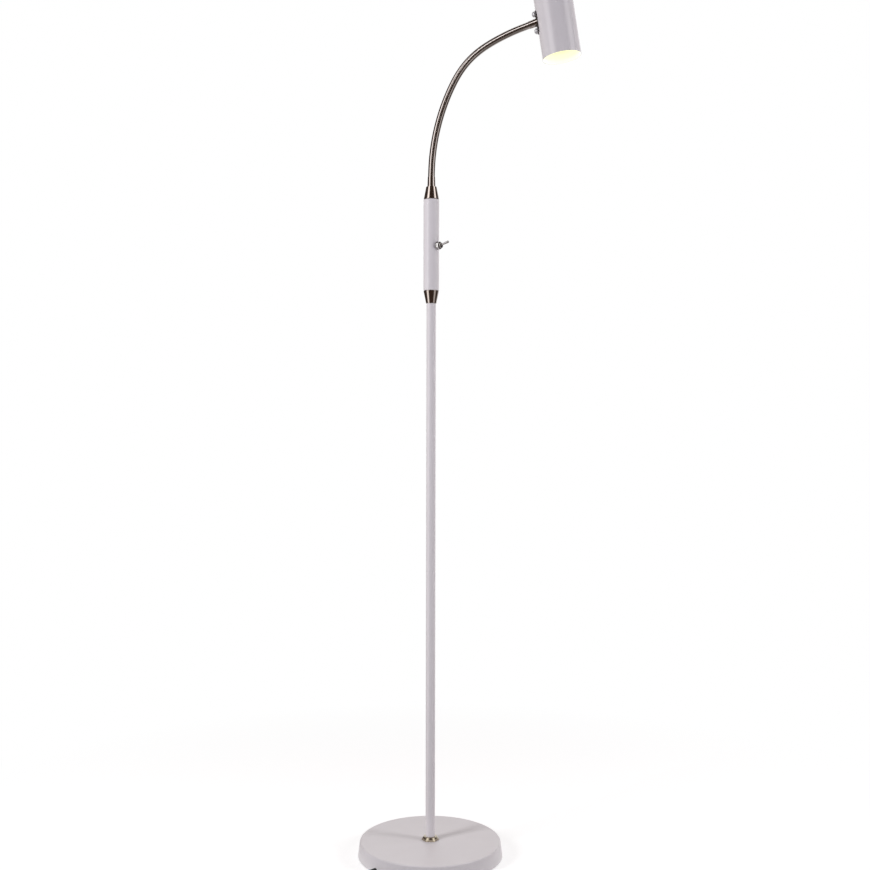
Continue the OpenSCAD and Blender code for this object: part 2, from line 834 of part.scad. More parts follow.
module lamp_holder() {
    color([0.9, 0.88, 0.84])
    on_shade() difference() {
        translate([-holder_t / 2, -holder_w / 2, holder_z]) cube([holder_t, holder_w, holder_h]);
        for (side = [-1, 1]) {
            translate([0, side * lamp_pin_pitch / 2, holder_z - cut])
                cylinder(d = lamp_pin_head_d + 2 * room, h = lamp_pin_l + room + cut);
            translate([side * holder_screw_pitch / 2, 0, angle_z - holder_screw_l])
                cylinder(d = screw_hole_d, h = holder_screw_l + cut);
        }
    }
}

module holder_angle() {
    foot = attach_h - saddle_pitch / 2 - angle_foot;
    top = angle_z + angle_t;
    color(zinc)
    on_shade() difference() {
        translate([-angle_x, -angle_w / 2, 0]) {
            translate([0, 0, foot]) cube([angle_t, angle_w, top - foot]);
            translate([0, 0, angle_z]) cube([angle_x + angle_reach, angle_w, angle_t]);
        }
        saddle_holes();
        for (side = [-1, 1])
            translate([side * holder_screw_pitch / 2, 0, angle_z - cut])
                cylinder(d = screw_hole_d, h = angle_t + 2 * cut);
    }
}

module holder_screws() {
    color(zinc)
    on_shade() for (side = [-1, 1])
        translate([side * holder_screw_pitch / 2, 0, angle_z + angle_t + seat]) {
            translate([0, 0, room - holder_screw_l]) cylinder(d = screw_d, h = holder_screw_l - room);
            cylinder(d = holder_head_d, h = holder_head_h);
        }
}

module lamp_body() {
    rim = lamp_recess + lamp_rim_h;
    base_r = lamp_base_d / 2;
    color([0.86, 0.86, 0.85])
    on_shade() difference() {
        rotate_extrude() polygon(concat(
            [[0, lamp_recess], [lamp_d / 2, lamp_recess]],
            [for (a = [0:lamp_bowl_step:90])
                [base_r + (lamp_d / 2 - base_r) * cos(a), rim + lamp_bowl_h * sin(a)]],
            [[base_r, lamp_back], [0, lamp_back]]));
        translate([0, 0, lamp_recess - cut])
            cylinder(d = lamp_d - 2 * lens_inset, h = lens_t + room + cut);
    }
}

module lamp_lens() {
    color([1, 0.96, 0.82])
    on_shade() translate([0, 0, lamp_recess + room - seat])
        cylinder(d = lamp_d - 2 * lens_inset - 2 * fit, h = lens_t);
}

module lamp_pins() {
    color(zinc)
    on_shade() for (side = [-1, 1])
        translate([0, side * lamp_pin_pitch / 2, lamp_back]) {
            cylinder(d = lamp_pin_d, h = lamp_pin_l);
            translate([0, 0, lamp_pin_l - lamp_pin_head_h])
                cylinder(d = lamp_pin_head_d, h = lamp_pin_head_h);
        }
}

module cord_run() {
    color(black) swept(cord_run_route, cord_d, cord_sides, [0, 0, 1]);
}

module cord_coil() {
    color(black) swept(coil_route, cord_d, coil_sides, [0, 0, 1]);
}

module cord_tail() {
    color(black) swept(cord_tail_route, cord_d, cord_sides, [0, 0, 1]);
}

// A flat band round the coil's section
module cord_tie() {
    inner = coil_inner_r - cord_d / 2 - tie_gap;
    outer = coil_outer_r + cord_d / 2 + tie_gap;
    low = coil_lift - tie_gap;
    high = coil_lift + cord_d + coil_pitch + tie_gap;
    color(black)
    translate([coil_centre[0], coil_centre[1], 0]) rotate([0, 0, tie_turn])
        translate([0, tie_w / 2, 0]) rotate([90, 0, 0]) linear_extrude(tie_w) difference() {
            translate([inner - tie_t, low - tie_t])
                square([outer - inner + 2 * tie_t, high - low + 2 * tie_t]);
            translate([inner, low]) square([outer - inner, high - low]);
        }
}

// A flat two-pin plug lying on the floor, its cord end towards -X
module plug_body() {
    color(black)
    translate(plug_end) {
        rotate([0, 90, 0]) cylinder(d1 = plug_nose_tip_d, d2 = plug_nose_d, h = plug_nose_l);
        translate([plug_nose_l, 0, 0]) intersection() {
            translate([0, 0, -plug_t / 2]) linear_extrude(plug_t) polygon([
                [0, -plug_back_w / 2], [plug_flare_l, -plug_w / 2], [plug_l, -plug_w / 2],
                [plug_l, plug_w / 2], [plug_flare_l, plug_w / 2], [0, plug_back_w / 2]]);
            rotate([90, 0, 0]) linear_extrude(plug_w + cut, center = true) polygon([
                [0, -plug_t / 2 + plug_slope], [plug_slope_l, -plug_t / 2], [plug_l, -plug_t / 2],
                [plug_l, plug_t / 2], [plug_slope_l, plug_t / 2], [0, plug_t / 2 - plug_slope]]);
        }
    }
}

module plug_pins() {
    color(brass)
    for (side = [-1, 1])
        translate(plug_end + [plug_nose_l + plug_l, side * plug_pin_pitch / 2, 0]) rotate([0, 90, 0]) {
            cylinder(d = plug_pin_d, h = plug_pin_l - plug_pin_tip_l);
            translate([0, 0, plug_pin_l - plug_pin_tip_l])
                cylinder(d1 = plug_pin_d, d2 = plug_pin_tip_d, h = plug_pin_tip_l);
        }
}

base_cover();
base_weight();
base_pad();
base_stud();
base_washer();
base_lock_nut();
pole_base_nut();
strain_relief();
lower_pole();
pole_foot_insert();
pole_joiner();
upper_pole();
pole_top_insert();
lower_cone();
lower_nipple();
switch_housing();
upper_cone();
upper_nipple();
nipple_nuts();
switch_body();
switch_bushing();
switch_pin();
switch_washer();
switch_nut();
switch_terminals();
switch_lever();
supply_lead();
neck_lower_sleeve();
for (i = [1:neck_links]) {
    neck_link(i);
}
neck_upper_sleeve();
head_saddle();
saddle_screws();
shade();
lamp_holder();
holder_angle();
holder_screws();
lamp_body();
lamp_lens();
lamp_pins();
cord_run();
cord_coil();
cord_tail();
cord_tie();
plug_body();
plug_pins();
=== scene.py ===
"""Floor lamp with a flexible neck: its finishes, camera and studio light.

Metres, +Z up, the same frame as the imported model. The front of the lamp faces -Y.
"""

import json
import math

import bmesh
import bpy
import numpy as np
from mathutils import Matrix, Vector

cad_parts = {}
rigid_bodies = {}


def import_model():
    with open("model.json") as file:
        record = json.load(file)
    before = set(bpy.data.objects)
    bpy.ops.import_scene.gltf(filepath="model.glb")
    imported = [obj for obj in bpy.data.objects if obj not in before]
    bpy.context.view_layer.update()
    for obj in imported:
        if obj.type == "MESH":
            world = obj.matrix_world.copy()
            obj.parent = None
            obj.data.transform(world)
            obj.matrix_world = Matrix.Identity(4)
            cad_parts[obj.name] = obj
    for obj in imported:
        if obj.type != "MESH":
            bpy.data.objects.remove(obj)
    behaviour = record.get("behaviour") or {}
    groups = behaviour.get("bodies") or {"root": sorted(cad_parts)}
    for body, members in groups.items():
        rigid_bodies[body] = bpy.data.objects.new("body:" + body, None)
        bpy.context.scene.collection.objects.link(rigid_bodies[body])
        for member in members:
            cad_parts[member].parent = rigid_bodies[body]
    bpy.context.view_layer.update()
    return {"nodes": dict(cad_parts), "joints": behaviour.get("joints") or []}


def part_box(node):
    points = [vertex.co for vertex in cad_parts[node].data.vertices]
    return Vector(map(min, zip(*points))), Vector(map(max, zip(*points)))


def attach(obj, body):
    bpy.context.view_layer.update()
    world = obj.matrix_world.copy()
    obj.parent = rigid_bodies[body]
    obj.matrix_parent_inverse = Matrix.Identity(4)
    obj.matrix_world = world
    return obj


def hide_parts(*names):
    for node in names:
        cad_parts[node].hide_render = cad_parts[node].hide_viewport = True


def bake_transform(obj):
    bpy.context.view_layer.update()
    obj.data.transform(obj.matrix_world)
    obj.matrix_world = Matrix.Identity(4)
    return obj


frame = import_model()

MM = 0.001

# Camera: a level view from the front, a little below the middle of the lamp
CAMERA_PLACE = Vector((0.0064, -1.770, 0.670))
CAMERA_ROLL = math.radians(0.105)
FRAME_PIXELS = 870
FOCAL_PIXELS = 1108
SENSOR_WIDTH = 36.0

# Cord: the route on the floor, in millimetres as in the part's source
CORD_D = 6.0
CORD_TURN = math.radians(223)
BASE_R = 115.0
RELIEF_L = 22.0
RELIEF_Z = 4.6
CORD_SQUARE = 3.0
RUN_ROUTE = [(-110.2, -102, 4.2), (-117.5, -107.3, 3.6), (-124.9, -112.5, 3.6), (-131.6, -118.5, 4)]
TAIL_ROUTE = [(-76, -203.6, 9.8), (-62, -204.6, 6.6), (-48, -206, 4.2), (-34, -207, 3.4), (-18, -207, 4.4)]
PLUG_END = (0, -207, 7)
COIL_CENTRE = (-100, -157)
COIL_ENTRY = 150
COIL_TURNS = 7.35
COIL_INNER_R = 23.5
COIL_PITCH = 6.6
COIL_LIFT = 1.6
COIL_RINGS = 24
CORD_STEPS = 4
CORD_SIDES = 16

# Neck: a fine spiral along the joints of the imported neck
NECK_R = 5.5 * MM
RIB_PITCH = 2.0 * MM
RIB_DEPTH = 0.05 * MM
RIB_SHAPE = [(0.0, 1.0), (0.03, 0.1), (0.06, 0.0), (0.94, 0.0), (0.97, 0.1)]
NECK_SIDES = 40
NECK_STEPS = 40
WELD_GAP = 0.001 * MM
SLEEVE_BITE = 1.0 * MM

# The neck's pieces curve smoothly across its joints. Counted from 1, one joint is cut in two, since its
# turning point is badly set at the limits otherwise; BLENDED_DOWN names a joint with the same fault, whose
# piece is built like the others. The cut piece's hidden end is sunk by so many times the ribs' depth.
BLENDED_DOWN = 11
CUT_JOINT = 13
TUCKED_DEPTH = 4.0

# Shade: where its mouth is and how it leans, for the painted glow on its inside. The corner is the middle of
# the closed end's rounding, by radius and height above the mouth, and the middle of the wall lies that far
# outside it.
SHADE_MOUTH = Vector((0.208192, 0, 1.273818))
SHADE_LEAN = math.radians(8.8)
SHADE_CORNER = (28 * MM, 117 * MM)
SHADE_MID_WALL = 2.4 * MM
# Inside the shade: a darker colour, with a painted glow over it that stands in for the lamp's light on the
# inner wall, pale yellow deep in and whiter towards the mouth
SHADE_INSIDE_UNDER_GLOW = (0.30, 0.29, 0.26)
SHADE_PAINTED_GLOW_DEPTH = 40 * MM
SHADE_PAINTED_GLOW = [(2 * MM, (0.90, 0.90, 0.70)), (10 * MM, (0.88, 0.88, 0.52)), (22 * MM, (0.85, 0.85, 0.30))]
LENS_GLOW = 1.6
LENS_TINTS = ((1.0, 0.97, 0.74), (1.0, 0.90, 0.56))
LENS_CELL = 3.2 * MM
LENS_RELIEF = 0.4 * MM
LENS_ROUGHNESS = 0.25

# Two tints that the lamp's paint drifts between
PAINT_TINTS = ((0.745, 0.715, 0.728), (0.725, 0.694, 0.706))

# Noise: how rough it is and the range that most of it lies in
NOISE_ROUGHNESS = 0.55
NOISE_RANGE = (0.3, 0.7)

# Turned metal: the size of its colour's drift and how far noise is drawn out into rings
TURNED_PATCH = 6 * MM
TURNED_STRETCH = (0.02, 0.02, 1)

# Nodes whose look differs a little from the rest of their slot
OWN_LOOKS = {"base_cover": "base_paint", "saddle_screws": "screw_plate", "pole_base_nut": "nut_nickel"}


def make_camera():
    """The camera of the photograph, turned level and then rolled a little."""
    data = bpy.data.cameras.new("camera")
    data.sensor_width = SENSOR_WIDTH
    data.lens = FOCAL_PIXELS / FRAME_PIXELS * SENSOR_WIDTH
    camera = bpy.data.objects.new("camera", data)
    level = Matrix.Rotation(math.radians(90), 4, "X")
    roll = Matrix.Rotation(CAMERA_ROLL, 4, "Z")
    camera.matrix_world = Matrix.Translation(CAMERA_PLACE) @ level @ roll
    bpy.context.scene.collection.objects.link(camera)
    bpy.context.scene.camera = camera


def ease(t):
    """Smooth step from 0 to 1."""
    q = min(max(t, 0.0), 1.0)
    return q * q * (3 - 2 * q)


def coil_point(t):
    """The coil spirals in on the lower layer, climbs over half a turn and spirals out on the upper one."""
    past_middle = t - COIL_TURNS / 2
    angle = math.radians(COIL_ENTRY + 360 * t)
    r = COIL_INNER_R + COIL_PITCH * abs(past_middle)
    z = CORD_D / 2 + COIL_LIFT + COIL_PITCH * ease(past_middle * 2 + 0.5)
    x = COIL_CENTRE[0] + r * math.cos(angle)
    y = COIL_CENTRE[1] + r * math.sin(angle)
    return Vector((x, y, z))


def cord_route():
    """Every point of the free cord from the strain relief's tip to the plug, in millimetres."""
    out = Vector((math.cos(CORD_TURN), math.sin(CORD_TURN), 0))
    start = out * (BASE_R + RELIEF_L) + Vector((0, 0, RELIEF_Z))
    steps = math.ceil(COIL_TURNS * COIL_RINGS)
    coil = [coil_point(COIL_TURNS * k / steps) for k in range(steps + 1)]
    into = (coil[1] - coil[0]).normalized()
    away = (coil[-1] - coil[-2]).normalized()
    first = coil[0] - into * CORD_D
    last = coil[-1] + away * CORD_D
    run = [start, start + out * CORD_SQUARE] + [Vector(p) for p in RUN_ROUTE]
    run += [first - into * CORD_SQUARE, first]
    end = Vector(PLUG_END)
    tail = [last, last + away * CORD_SQUARE] + [Vector(p) for p in TAIL_ROUTE]
    tail += [end - Vector((CORD_D, 0, 0)), end]
    return run + coil + tail


def smooth_line(points, steps):
    """Points on one smooth curve through the given ones, with tangents weighted by distance."""
    spans = [(b - a).length for a, b in zip(points, points[1:])]
    slopes = [(b - a) / d for a, b, d in zip(points, points[1:], spans)]
    tangents = [slopes[0]]
    for before, after, d0, d1 in zip(slopes, slopes[1:], spans, spans[1:]):
        tangents.append((before * d1 + after * d0) / (d0 + d1))
    tangents.append(slopes[-1])
    line = []
    for k, d in enumerate(spans):
        for step in range(steps):
            t = step / steps
            rise = t * t * (3 - 2 * t)
            lead = t * (1 - t) ** 2 * d
            trail = t * t * (t - 1) * d
            place = points[k] * (1 - rise) + points[k + 1] * rise
            line.append(place + tangents[k] * lead + tangents[k + 1] * trail)
    return line + [points[-1]]


def tube_mesh(name, line, sides_at, count):
    """A closed tube round a line; sides_at gives the points round it, ring by ring."""
    rows = len(line)
    faces = []
    for i in range(rows - 1):
        for k in range(count):
            a = i * count + k
            b = i * count + (k + 1) % count
            faces.append((a, b, b + count, a + count))
    walls = len(faces)
    last = (rows - 1) * count
    faces.append(tuple(reversed(range(count))))
    faces.append(tuple(last + k for k in range(count)))
    mesh = bpy.data.meshes.new(name)
    mesh.from_pydata(sides_at.reshape(-1, 3).tolist(), [], faces)
    mesh.polygons.foreach_set("use_smooth", [True] * walls + [False] * 2)
    rims = [min(e.vertices) >= last or max(e.vertices) < count for e in mesh.edges]
    mesh.attributes.new("sharp_edge", "BOOLEAN", "EDGE").data.foreach_set("value", rims)
    piece = bpy.data.objects.new(name, mesh)
    bpy.context.scene.collection.objects.link(piece)
    return piece


def directions(line):
    """Unit directions along a line of points."""
    along = np.gradient(line, axis=0)
    return along / np.linalg.norm(along, axis=1)[:, None]


def ring_points(line, across, above, r, turn):
    """Points round each point of a line, at radius r and the given turns from across to above."""
    ring = np.cos(turn)[None, :, None] * across[:, None, :] + np.sin(turn)[None, :, None] * above[:, None, :]
    return line[:, None, :] + r[:, :, None] * ring


def make_cord(looks):
    """The free cord, one smooth tube along its route."""
    route = [p * MM for p in smooth_line(cord_route(), CORD_STEPS)]
    line = np.array(route)
    along = directions(line)
    across = np.cross((0.0, 0.0, 1.0), along)
    across /= np.linalg.norm(across, axis=1)[:, None]
    above = np.cross(along, across)
    turn = np.linspace(0, 2 * math.pi, CORD_SIDES, endpoint=False)
    r = np.full((len(line), CORD_SIDES), CORD_D / 2 * MM)
    cord = tube_mesh("mains_cord", line, ring_points(line, across, above, r, turn), CORD_SIDES)
    cord.data.materials.append(looks["cord_black"])
    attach(cord, "stand")
    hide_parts("cord_run", "cord_coil", "cord_tail")


# Materials


def add(tree, kind, **inputs):
    """A new node with its inputs set by name, spaces written as underscores."""
    node = tree.nodes.new(kind)
    for name, value in inputs.items():
        node.inputs[name.replace("_", " ")].default_value = value
    return node


def new_material(name):
    """A material with its nodes and its one shader."""
    material = bpy.data.materials.new(name)
    material.use_nodes = True
    tree = material.node_tree
    return material, tree, tree.nodes["Principled BSDF"]


def noise(tree, size, detail=3.0, stretch=(1, 1, 1)):
    """Noise on the object's own coordinates, with features about as large as size, in metres."""
    coords = add(tree, "ShaderNodeTexCoord")
    mapping = add(tree, "ShaderNodeMapping")
    mapping.inputs["Scale"].default_value = [s / size for s in stretch]
    texture = add(tree, "ShaderNodeTexNoise", Scale=1.0, Detail=detail, Roughness=NOISE_ROUGHNESS)
    tree.links.new(coords.outputs["Object"], mapping.inputs["Vector"])
    tree.links.new(mapping.outputs["Vector"], texture.inputs["Vector"])
    return texture.outputs["Fac"]


def spread(tree, value, low, high):
    """Noise stretched to run between two numbers."""
    least, most = NOISE_RANGE
    node = add(tree, "ShaderNodeMapRange", From_Min=least, From_Max=most, To_Min=low, To_Max=high)
    tree.links.new(value, node.inputs["Value"])
    return node.outputs["Result"]


def mixed(tree, factor, first, second):
    """A colour between two, by a factor."""
    node = tree.nodes.new("ShaderNodeMix")
    node.data_type = "RGBA"
    for socket, colour in (("A", first), ("B", second)):
        target = [s for s in node.inputs if s.name == socket and s.type == "RGBA"][0]
        if isinstance(colour, tuple):
            target.default_value = (*colour, 1.0)
        else:
            tree.links.new(colour, target)
    tree.links.new(factor, node.inputs["Factor"])
    return [s for s in node.outputs if s.type == "RGBA"][0]


def blended(tree, factor, first, second):
    """A shader between two, by a factor."""
    node = add(tree, "ShaderNodeMixShader")
    tree.links.new(factor, node.inputs["Fac"])
    tree.links.new(first, node.inputs[1])
    tree.links.new(second, node.inputs[2])
    return node.outputs["Shader"]


def combine(tree, operation, first, second):
    """The result of one operation on two values, each a number or a node's output."""
    node = tree.nodes.new("ShaderNodeMath")
    node.operation = operation
    for socket, value in zip(node.inputs, (first, second)):
        if isinstance(value, float):
            socket.default_value = value
        else:
            tree.links.new(value, socket)
    return node.outputs["Value"]


def ramp(tree, value, low, high, stops):
    """Colours along a value that runs from low to high, eased from stop to stop."""
    share = add(tree, "ShaderNodeMapRange", From_Min=low, From_Max=high)
    tree.links.new(value, share.inputs["Value"])
    node = add(tree, "ShaderNodeValToRGB")
    tree.links.new(share.outputs["Result"], node.inputs["Fac"])
    band = node.color_ramp
    band.interpolation = "EASE"
    while len(band.elements) < len(stops):
        band.elements.new(0.5)
    for element, (place, colour) in zip(band.elements, stops):
        element.position = (place - low) / (high - low)
        element.color = (*colour, 1.0)
    return node.outputs["Color"]


def relief(tree, shader, height, depth):
    """A bump of the given depth in metres on the shader's normal."""
    bump = add(tree, "ShaderNodeBump", Strength=1.0, Distance=depth)
    tree.links.new(height, bump.inputs["Height"])
    tree.links.new(bump.outputs["Normal"], shader.inputs["Normal"])


def finish(name, tints, patch, gloss, grain, bump, **sockets):
    """A surface whose colour drifts between two tints, with uneven gloss and a fine relief.

    patch is the size of the colour's drift, gloss the lowest and highest roughness,
    grain the size of the relief and bump its depth. Sockets go on the shader as they are.
    """
    material, tree, shader = new_material(name)
    for socket, value in sockets.items():
        shader.inputs[socket.replace("_", " ")].default_value = value
    drift = spread(tree, noise(tree, patch), 0.0, 1.0)
    tree.links.new(mixed(tree, drift, *tints), shader.inputs["Base Color"])
    tree.links.new(spread(tree, noise(tree, patch / 3), *gloss), shader.inputs["Roughness"])
    relief(tree, shader, noise(tree, grain, detail=2.0), bump)
    return material


def turned(name, tints, gloss, lines, bump, **sockets):
    """Metal turned on a lathe: fine rings across the pole's axis."""
    material, tree, shader = new_material(name)
    for socket, value in sockets.items():
        shader.inputs[socket.replace("_", " ")].default_value = value
    drift = spread(tree, noise(tree, TURNED_PATCH), 0.0, 1.0)
    rings = noise(tree, lines, detail=2.0, stretch=TURNED_STRETCH)
    tree.links.new(mixed(tree, drift, *tints), shader.inputs["Base Color"])
    tree.links.new(spread(tree, rings, *gloss), shader.inputs["Roughness"])
    relief(tree, shader, rings, bump)
    return material


def make_looks():
    """One material for each of the record's slots, and a few for single pieces."""
    looks = {}
    looks["paint"] = finish(
        "paint", PAINT_TINTS, 60 * MM, (0.15, 0.21), 1.1 * MM, 0.002 * MM, IOR=1.6)
    looks["base_paint"] = finish(
        "base_paint", PAINT_TINTS, 60 * MM, (0.38, 0.46), 1.1 * MM, 0.002 * MM, IOR=1.6)
    looks["cement"] = finish(
        "cast_weight", ((0.30, 0.29, 0.27), (0.20, 0.195, 0.185)), 5 * MM, (0.8, 0.95), 0.9 * MM, 0.25 * MM)
    looks["pad"] = finish(
        "foam_pad", ((0.022, 0.022, 0.023), (0.034, 0.034, 0.035)), 3 * MM, (0.82, 0.95), 0.7 * MM, 0.15 * MM)
    looks["zinc"] = finish(
        "zinc_plate", ((0.58, 0.59, 0.60), (0.50, 0.50, 0.49)), 7 * MM, (0.28, 0.45), 0.6 * MM, 0.01 * MM,
        Metallic=1.0)
    looks["polished_nickel"] = turned(
        "polished_nickel", ((0.63, 0.56, 0.51), (0.57, 0.505, 0.46)), (0.09, 0.16), 0.5 * MM, 0.002 * MM,
        Metallic=1.0)
    looks["satin_nickel"] = finish(
        "satin_nickel", ((0.60, 0.545, 0.51), (0.53, 0.475, 0.445)),
        8 * MM, (0.13, 0.19), 0.5 * MM, 0.002 * MM,
        Metallic=1.0)
    looks["wound_nickel"] = finish(
        "wound_nickel", ((0.62, 0.565, 0.535), (0.55, 0.50, 0.47)),
        8 * MM, (0.12, 0.17), 0.5 * MM, 0.002 * MM,
        Metallic=1.0)
    looks["dark_steel"] = finish(
        "dark_steel", ((0.25, 0.235, 0.23), (0.19, 0.18, 0.175)), 4 * MM, (0.3, 0.42), 0.5 * MM, 0.01 * MM,
        Metallic=1.0)
    looks["bright_chrome"] = finish(
        "bright_chrome", ((0.80, 0.79, 0.78), (0.74, 0.73, 0.72)), 5 * MM, (0.06, 0.13), 0.4 * MM, 0.002 * MM,
        Metallic=1.0)
    looks["screw_plate"] = finish(
        "screw_plate", ((0.88, 0.88, 0.90), (0.82, 0.82, 0.84)), 3 * MM, (0.36, 0.46), 0.4 * MM, 0.004 * MM,
        Metallic=0.7)
    looks["nut_nickel"] = finish(
        "nut_nickel", ((0.64, 0.57, 0.43), (0.57, 0.51, 0.39)), 4 * MM, (0.24, 0.32), 0.4 * MM, 0.004 * MM,
        Metallic=1.0)
    looks["switch_plastic"] = finish(
        "switch_plastic", ((0.020, 0.020, 0.022), (0.028, 0.028, 0.030)),
        5 * MM, (0.4, 0.5), 0.6 * MM, 0.01 * MM)
    looks["brass"] = finish(
        "brass", ((0.72, 0.55, 0.27), (0.62, 0.46, 0.21)), 4 * MM, (0.16, 0.30), 0.4 * MM, 0.004 * MM,
        Metallic=1.0)
    looks["cord_black"] = finish(
        "black_rubber", ((0.018, 0.018, 0.019), (0.026, 0.026, 0.027)),
        9 * MM, (0.42, 0.56), 0.5 * MM, 0.02 * MM)
    looks["tie"] = finish(
        "woven_tie", ((0.024, 0.024, 0.026), (0.040, 0.040, 0.042)),
        1 * MM, (0.75, 0.9), 0.35 * MM, 0.12 * MM)
    looks["ceramic"] = finish(
        "ceramic", ((0.78, 0.76, 0.71), (0.72, 0.70, 0.65)), 3 * MM, (0.22, 0.34), 1.0 * MM, 0.02 * MM)
    looks["lamp_shell"] = finish(
        "lamp_shell", ((0.72, 0.72, 0.71), (0.64, 0.64, 0.63)), 4 * MM, (0.25, 0.38), 0.6 * MM, 0.01 * MM)
    looks["lamp_glow"] = lens_look()
    return looks


def lens_look():
    """The lamp's lit front, moulded with small round lenses."""
    material, tree, shader = new_material("lit_lens")
    coords = add(tree, "ShaderNodeTexCoord")
    cells = add(tree, "ShaderNodeTexVoronoi", Scale=1 / LENS_CELL)
    tree.links.new(coords.outputs["Object"], cells.inputs["Vector"])
    glow = mixed(tree, cells.outputs["Distance"], *LENS_TINTS)
    tree.links.new(glow, shader.inputs["Emission Color"])
    tree.links.new(glow, shader.inputs["Base Color"])
    shader.inputs["Emission Strength"].default_value = LENS_GLOW
    shader.inputs["Roughness"].default_value = LENS_ROUGHNESS
    relief(tree, shader, cells.outputs["Distance"], LENS_RELIEF)
    return material


def shade_look(paint):
    """The shade's paint; the lamp lights its inside, which also gets a darker colour and a painted glow of
    lamp light, paler towards the mouth.
    """
    material = paint.copy()
    material.name = "shade_paint"
    tree = material.node_tree
    shader = tree.nodes["Principled BSDF"]
    coords = add(tree, "ShaderNodeTexCoord")
    local = add(tree, "ShaderNodeMapping", Location=SHADE_MOUTH, Rotation=(0, -SHADE_LEAN, 0))
    local.vector_type = "TEXTURE"
    tree.links.new(coords.outputs["Object"], local.inputs["Vector"])
    axes = add(tree, "ShaderNodeSeparateXYZ")
    tree.links.new(local.outputs["Vector"], axes.inputs["Vector"])
    across = combine(tree, "POWER", axes.outputs["X"], 2.0)
    back = combine(tree, "POWER", axes.outputs["Y"], 2.0)
    radius = combine(tree, "POWER", combine(tree, "ADD", across, back), 0.5)
    past = 0.0
    for value, corner in zip((radius, axes.outputs["Z"]), SHADE_CORNER):
        over = combine(tree, "MAXIMUM", combine(tree, "SUBTRACT", value, corner), 0.0)
        past = combine(tree, "ADD", combine(tree, "POWER", over, 2.0), past)
    inside = combine(tree, "LESS_THAN", past, SHADE_MID_WALL ** 2)
    # Painted glow: the lamp's light on the inner wall, drawn as emission by depth from the mouth
    glow = ramp(tree, axes.outputs["Z"], 0.0, SHADE_PAINTED_GLOW_DEPTH, SHADE_PAINTED_GLOW)
    tree.links.new(glow, shader.inputs["Emission Color"])
    tree.links.new(inside, shader.inputs["Emission Strength"])
    outer = shader.inputs["Base Color"].links[0].from_socket
    tree.links.new(mixed(tree, inside, outer, SHADE_INSIDE_UNDER_GLOW), shader.inputs["Base Color"])
    return material


def dress_nodes(looks):
    """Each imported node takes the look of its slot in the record."""
    for node in frame["nodes"].values():
        for slot in node.material_slots:
            slot.material = looks[slot.material.name]
    own = {"shade": shade_look(looks["paint"])}
    own.update((name, looks[look]) for name, look in OWN_LOOKS.items())
    for name, look in own.items():
        frame["nodes"][name].material_slots[0].material = look


# Neck


def neck_joints():
    """Places of the neck's joints from the sleeve up, with the body below and the body above each."""
    found = [j for j in frame["joints"] if j["name"].startswith("neck_")]
    return [(Vector(j["pos_m"]), j["parent"], j["child"]) for j in found]


def bezier(a, b, c, t):
    """A point on the curve from a to c that leans towards b."""
    return a * (1 - t) ** 2 + b * 2 * t * (1 - t) + c * t * t


def neck_line(foot, joints):
    """The neck's centreline in short steps, with each point's distance from its foot.

    It bends smoothly round each joint, from the middle of one link to the middle of the next.
    Its last value lists the distances where one piece of the neck ends.
    """
    points = [foot]
    ends = []
    for i, place in enumerate(joints):
        last = i == len(joints) - 1
        end = place if last else (place + joints[i + 1]) / 2
        bend = (points[-1] + end) / 2 if last else place
        start = points[-1]
        points += [bezier(start, bend, end, k / NECK_STEPS) for k in range(1, NECK_STEPS + 1)]
        ends.append(len(points) - 1)
    line = np.array(points)
    far = np.concatenate([[0], np.cumsum(np.linalg.norm(np.diff(line, axis=0), axis=1))])
    return line, far, far[ends]


def spiral_piece(name, line, far, first, last, tucked=False):
    """A length of tube along the neck's line, wound with flat ribs; first and last count its ribs.

    A tucked piece has one more rib, sunk under the next piece.
    """
    ribs = range(first, last + tucked)
    steps = np.array([rib + share for rib in ribs for share, _ in RIB_SHAPE] + [ribs.stop])
    depth = np.array([sunk for _ in ribs for _, sunk in RIB_SHAPE] + [RIB_SHAPE[0][1]])
    depth[steps > last] = TUCKED_DEPTH
    round_it = np.linspace(0, 1, NECK_SIDES + 1)
    places = (steps[:, None] + round_it[None, :]) * RIB_PITCH
    along = directions(line)
    centre = np.stack([np.interp(places, far, line[:, k]) for k in range(3)], axis=2)
    heading = np.stack([np.interp(places, far, along[:, k]) for k in range(3)], axis=2)
    back = np.array((0.0, 1.0, 0.0))
    outward = np.cross(back, heading)
    turn = (2 * math.pi * round_it)[None, :, None]
    r = (NECK_R - RIB_DEPTH * depth)[:, None, None]
    points = centre + r * (np.cos(turn) * back + np.sin(turn) * outward)
    row = NECK_SIDES + 1
    faces = []
    for i in range(len(steps) - 1):
        for k in range(NECK_SIDES):
            a = i * row + k
            faces.append((a, a + 1, a + 1 + row, a + row))
    mesh = bpy.data.meshes.new(name)
    mesh.from_pydata(points.reshape(-1, 3).tolist(), [], faces)
    mesh.polygons.foreach_set("use_smooth", [True] * len(faces))
    joined = bmesh.new()
    joined.from_mesh(mesh)
    bmesh.ops.remove_doubles(joined, verts=joined.verts, dist=WELD_GAP)
    joined.to_mesh(mesh)
    joined.free()
    piece = bpy.data.objects.new(name, mesh)
    bpy.context.scene.collection.objects.link(piece)
    return piece


